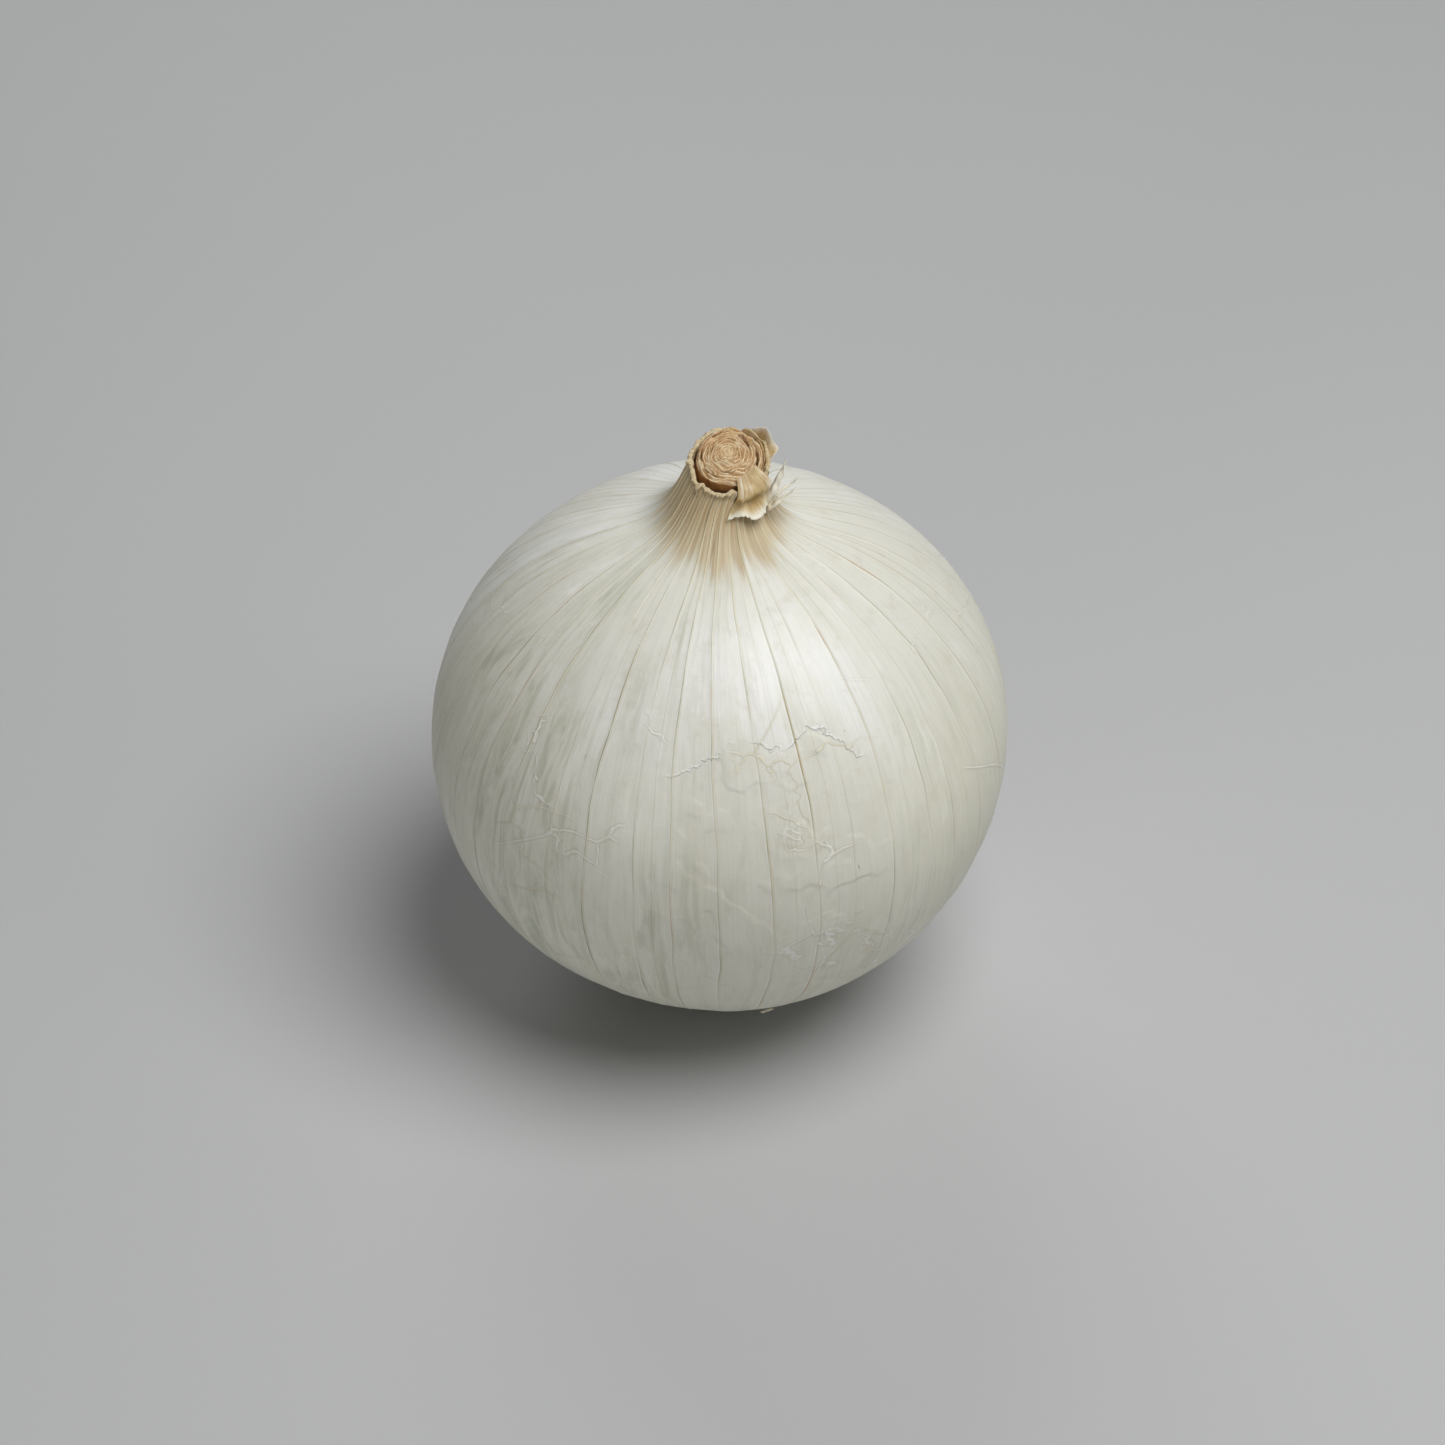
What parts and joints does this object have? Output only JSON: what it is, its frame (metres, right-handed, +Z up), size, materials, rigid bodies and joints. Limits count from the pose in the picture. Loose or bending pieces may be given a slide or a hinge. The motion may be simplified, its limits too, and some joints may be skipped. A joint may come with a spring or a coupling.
{
  "type": "white onion",
  "caption": "Globe-shaped onion bulb in pearly papery skin, drawn up to a short cut dry neck with torn skin shreds, standing on its trimmed root plate.",
  "frame": {"origin": "middle of the root plate's flat underside, at the level that the bulb stands on", "axes": "+Z up along the bulb's axis from root plate to neck, +X to the side that the cut neck leans towards, -Y to the front, where the folded skin flap hangs"},
  "size_m": [0.084, 0.084, 0.0929],
  "materials": {
    "skin": "satin",
    "dry_core": "matt",
    "dry_flap": "satin",
    "shred": "matt",
    "root": "matt"
  },
  "bodies": {
    "root": {"bulb": "skin", "neck_core": "dry_core", "front_flap": "dry_flap", "rim_curl": "dry_flap", "shred_tall": "shred", "shred_long": "shred", "shred_low": "shred", "root_plate": "root"}
  },
  "joints": []
}
